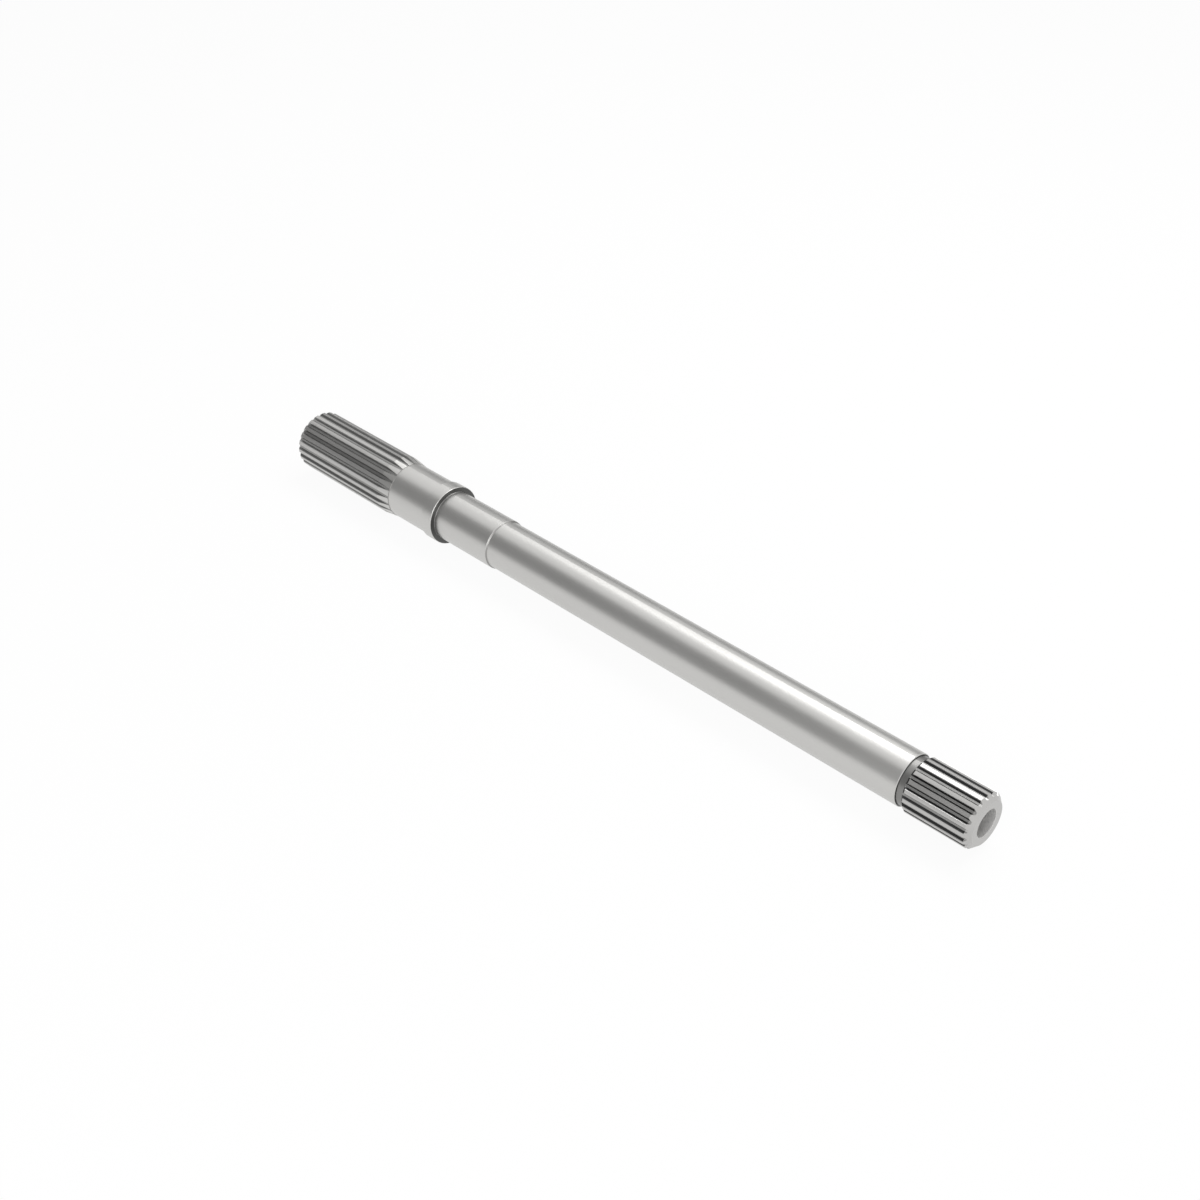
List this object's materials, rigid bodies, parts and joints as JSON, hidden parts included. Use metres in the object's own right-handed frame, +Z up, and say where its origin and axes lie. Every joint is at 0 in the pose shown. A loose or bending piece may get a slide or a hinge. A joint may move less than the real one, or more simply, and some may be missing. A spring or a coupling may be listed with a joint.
{
  "type": "splined shaft",
  "caption": "One-piece steel drive shaft with an involute spline at each end, a locating collar, a bearing seat and a blind bore in one end.",
  "frame": {"origin": "on the shaft's axis at mid-length", "axes": "+X along the shaft's axis, towards the end with the smaller spline and the bore; +Z up as it lies, midway between two spline teeth at both ends"},
  "size_m": [0.4162, 0.0306, 0.0304],
  "materials": {
    "ground_steel": "turned and ground, satin"
  },
  "bodies": {
    "root": {"splined_shaft": "ground_steel"}
  },
  "joints": []
}
